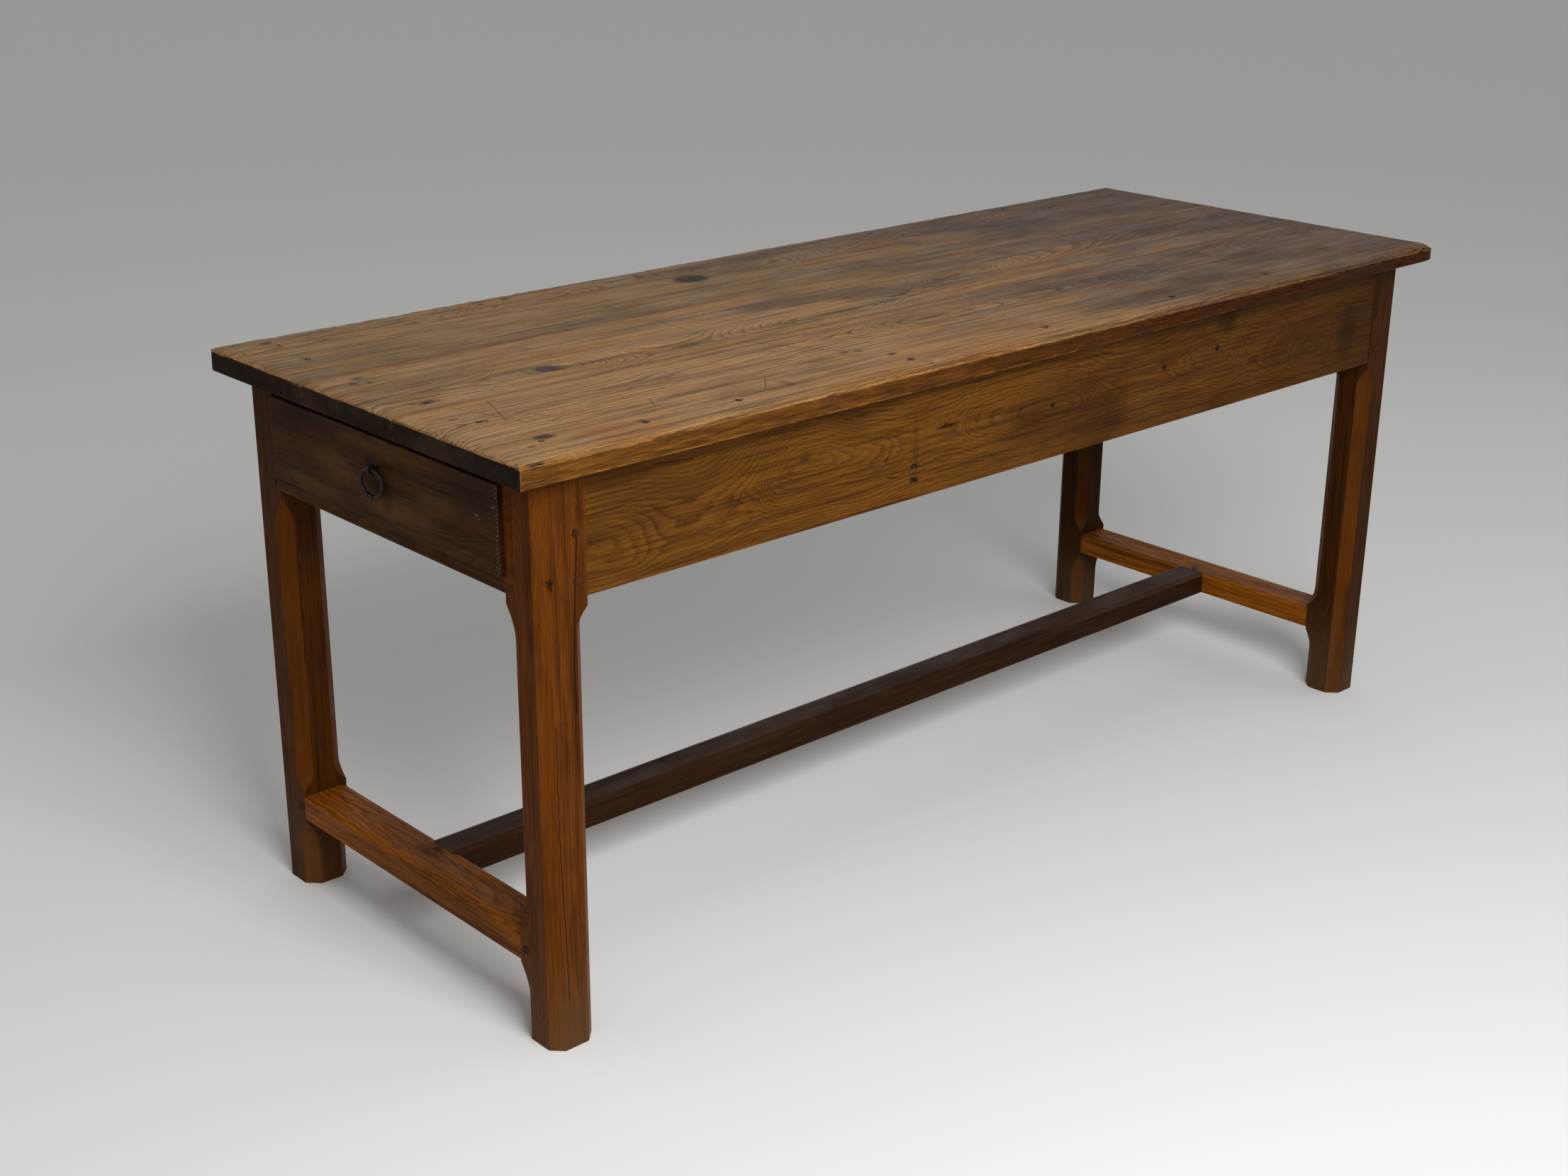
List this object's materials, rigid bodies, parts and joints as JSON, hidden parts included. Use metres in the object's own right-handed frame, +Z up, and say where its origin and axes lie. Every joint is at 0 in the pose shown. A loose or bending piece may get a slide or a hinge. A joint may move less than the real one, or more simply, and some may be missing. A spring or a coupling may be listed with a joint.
{
  "type": "farmhouse table",
  "caption": "Plank-top farmhouse table on a pegged frame with stop-chamfered legs and an H stretcher, with a drawer on an iron ring pull in one end.",
  "frame": {"origin": "on the floor under the middle of the top", "axes": "+X along the table away from the drawer end, +Y from the front long side to the back, +Z up"},
  "size_m": [1.794, 0.681, 0.76],
  "materials": {
    "top_wood": "worn waxed plank, grey-brown with golden grain",
    "leg_wood": "reddish brown, waxed, worn on the arrises",
    "apron_wood": "golden-orange brown, waxed",
    "stretcher_wood": "dark brown, rubbed and dusty",
    "drawer_wood": "dark brown, waxed",
    "inner_wood": "bare pine, dusty",
    "peg_wood": "dark end grain",
    "iron": "old forged iron, rubbed smooth"
  },
  "bodies": {
    "frame": {"top_board_front": "top_wood", "top_board_middle": "top_wood", "top_board_back": "top_wood", "top_nails": "iron", "leg_front_left": "leg_wood", "leg_back_left": "leg_wood", "leg_front_right": "leg_wood", "leg_back_right": "leg_wood", "apron_front": "apron_wood", "apron_back": "apron_wood", "apron_end": "apron_wood", "drawer_rail_lower": "drawer_wood", "drawer_rail_upper": "inner_wood", "stretcher_left": "stretcher_wood", "stretcher_right": "stretcher_wood", "stretcher_centre": "stretcher_wood", "apron_pegs": "peg_wood", "rail_pegs": "peg_wood", "stretcher_pegs": "peg_wood", "cross_rail": "inner_wood", "cross_rail_nails": "iron", "runner_front": "inner_wood", "runner_back": "inner_wood", "guide_front": "inner_wood", "guide_back": "inner_wood", "kickers": "inner_wood", "carriage_nails": "iron", "drawer_stops": "inner_wood"},
    "drawer": {"drawer_front": "drawer_wood", "drawer_side_front": "inner_wood", "drawer_side_back": "inner_wood", "drawer_back": "inner_wood", "drawer_bottom": "inner_wood", "drawer_bottom_nails": "iron", "ring_eye": "iron"},
    "ring": {"ring_pull": "iron"}
  },
  "joints": [
    {"name": "drawer_slide", "type": "slide", "parent": "frame", "child": "drawer", "axis": [-1, 0, 0], "range_m": [-0.005, 0.4]},
    {"name": "ring_swing", "type": "hinge", "parent": "drawer", "child": "ring", "pos_m": [-0.86903, 0.0045, 0.67015], "axis": [0, 1, 0], "range_deg": [0, 120]}
  ]
}
